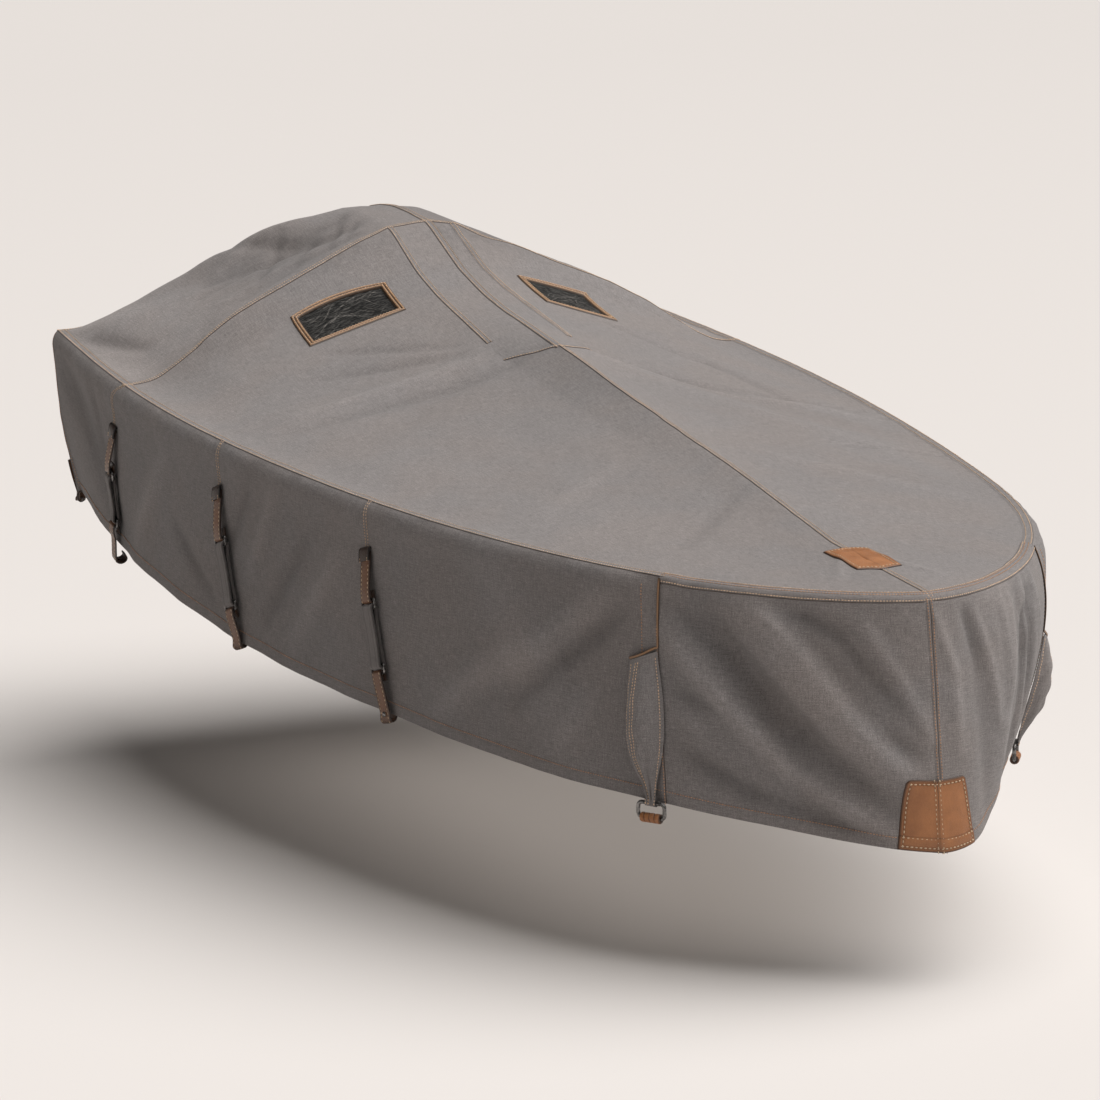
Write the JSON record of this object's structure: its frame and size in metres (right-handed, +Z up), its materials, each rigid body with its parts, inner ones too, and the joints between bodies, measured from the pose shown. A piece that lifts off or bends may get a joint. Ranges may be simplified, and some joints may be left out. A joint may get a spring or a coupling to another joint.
{
  "type": "boat cover",
  "caption": "Fitted canvas cover for a small dinghy, draped over a raised stern hump, with seamed panels, mesh vents, leather bow patch, side straps and pleat flaps.",
  "frame": {"origin": "middle of the cover's outline in plan, at the height of its lowest point, the hem at the bow", "axes": "+X towards the bow along the cover's length, +Y to port, +Z up"},
  "size_m": [3.1392, 1.5822, 0.9259],
  "materials": {
    "canvas": "matt heathered warm grey canvas",
    "vent_mesh": "black wrinkled mesh",
    "binding": "tan bound edge, satin",
    "leather": "tan brown leather, satin",
    "webbing": "matt dark grey webbing",
    "steel": "dark nickel, satin"
  },
  "bodies": {
    "root": {"bow_panel_port": "canvas", "bow_panel_starboard": "canvas", "bow_patch": "leather", "bow_rim_band": "canvas", "deck_panel_port": "canvas", "deck_panel_starboard": "canvas", "foredeck_patch": "leather", "hood_gusset_port": "canvas", "hood_gusset_starboard": "canvas", "pleat_binding_port": "binding", "pleat_binding_starboard": "binding", "pleat_flap_port": "canvas", "pleat_flap_starboard": "canvas", "pleat_loop_port": "steel", "pleat_loop_starboard": "steel", "pleat_roll_port": "leather", "pleat_roll_starboard": "leather", "side_panel_port": "canvas", "side_panel_starboard": "canvas", "stern_panel_port": "canvas", "stern_panel_starboard": "canvas", "strap_aft_port_loop_lower": "steel", "strap_aft_port_loop_upper": "steel", "strap_aft_port_strip": "leather", "strap_aft_port_tail": "leather", "strap_aft_port_web": "webbing", "strap_aft_starboard_loop_lower": "steel", "strap_aft_starboard_loop_upper": "steel", "strap_aft_starboard_strip": "leather", "strap_aft_starboard_tail": "leather", "strap_aft_starboard_web": "webbing", "strap_corner_starboard": "leather", "strap_fore_port_loop_lower": "steel", "strap_fore_port_loop_upper": "steel", "strap_fore_port_strip": "leather", "strap_fore_port_tail": "leather", "strap_fore_port_web": "webbing", "strap_fore_starboard_loop_lower": "steel", "strap_fore_starboard_loop_upper": "steel", "strap_fore_starboard_strip": "leather", "strap_fore_starboard_stud": "steel", "strap_fore_starboard_tail": "leather", "strap_fore_starboard_web": "webbing", "strap_mid_port_loop_lower": "steel", "strap_mid_port_loop_upper": "steel", "strap_mid_port_strip": "leather", "strap_mid_port_tail": "leather", "strap_mid_port_web": "webbing", "strap_mid_starboard_loop_lower": "steel", "strap_mid_starboard_loop_upper": "steel", "strap_mid_starboard_strip": "leather", "strap_mid_starboard_tail": "leather", "strap_mid_starboard_web": "webbing", "transom_panel": "canvas", "vent_frame_port": "binding", "vent_frame_starboard": "binding", "vent_mesh_port": "vent_mesh", "vent_mesh_starboard": "vent_mesh"}
  },
  "joints": []
}
